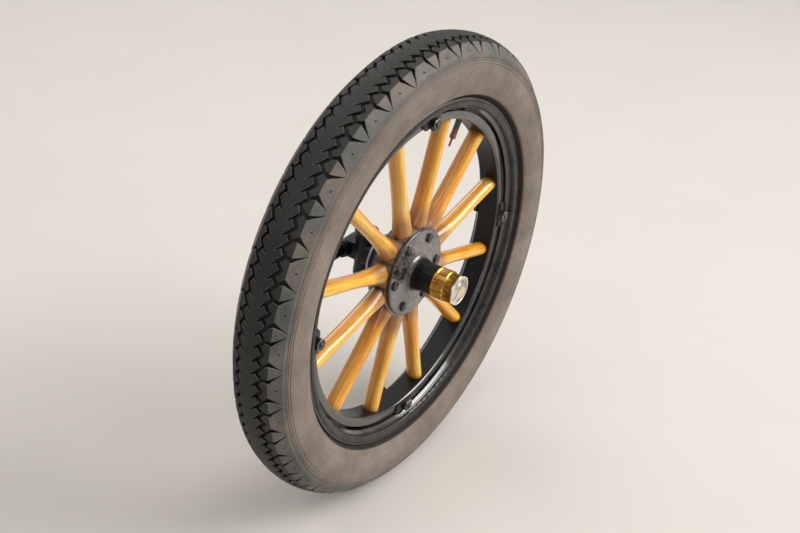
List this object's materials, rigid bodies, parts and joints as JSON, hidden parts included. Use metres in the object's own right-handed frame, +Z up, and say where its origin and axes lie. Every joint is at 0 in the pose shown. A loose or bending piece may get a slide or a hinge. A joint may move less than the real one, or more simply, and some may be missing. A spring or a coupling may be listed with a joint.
{
  "type": "vehicle front wheel with steering knuckle",
  "caption": "Wood-spoked road wheel with steel rim, tyre and brass hub cap, turning on a steering knuckle that is held at its kingpin bore.",
  "frame": {"origin": "middle of the kingpin bore, on the wheel's spin axis", "axes": "+Z up along the kingpin, +X towards the car's nose, -Y outboard along the spin axis"},
  "size_m": [0.7363, 0.241, 0.7364],
  "materials": {
    "tyre_rubber": "dusty grey-brown rubber with a non-skid tread",
    "black_enamel": "deep gloss black stove enamel",
    "varnished_wood": "golden varnished hickory",
    "cap_brass": "worn golden brass",
    "nickel": "worn nickel plate",
    "dark_iron": "black painted bolts, nuts and clamps",
    "steel": "machined steel",
    "bronze": "bearing bronze",
    "valve_metal": "tarnished brass"
  },
  "bodies": {
    "knuckle": {"steering_knuckle": "black_enamel", "kingpin_bush_upper": "bronze", "kingpin_bush_lower": "bronze", "steering_arm": "black_enamel", "steering_arm_nut": "dark_iron", "spindle_nut": "steel"},
    "wheel": {"hub": "black_enamel", "inner_bearing": "steel", "outer_bearing": "steel", "grease_seal": "steel", "hub_plate": "black_enamel", "hub_bolts": "dark_iron", "hub_cap": "cap_brass", "hub_cap_disc": "nickel", "felloe": "black_enamel", "rim": "black_enamel", "rim_lugs": "dark_iron", "lug_bolts": "dark_iron", "tyre": "tyre_rubber", "valve": "valve_metal", "spoke_01": "varnished_wood", "spoke_02": "varnished_wood", "spoke_03": "varnished_wood", "spoke_04": "varnished_wood", "spoke_05": "varnished_wood", "spoke_06": "varnished_wood", "spoke_07": "varnished_wood", "spoke_08": "varnished_wood", "spoke_09": "varnished_wood", "spoke_10": "varnished_wood", "spoke_11": "varnished_wood", "spoke_12": "varnished_wood"}
  },
  "joints": [
    {"name": "wheel_spin", "type": "hinge", "parent": "knuckle", "child": "wheel", "pos_m": [0, -0.075, 0], "axis": [0, 1, 0], "continuous": true}
  ]
}
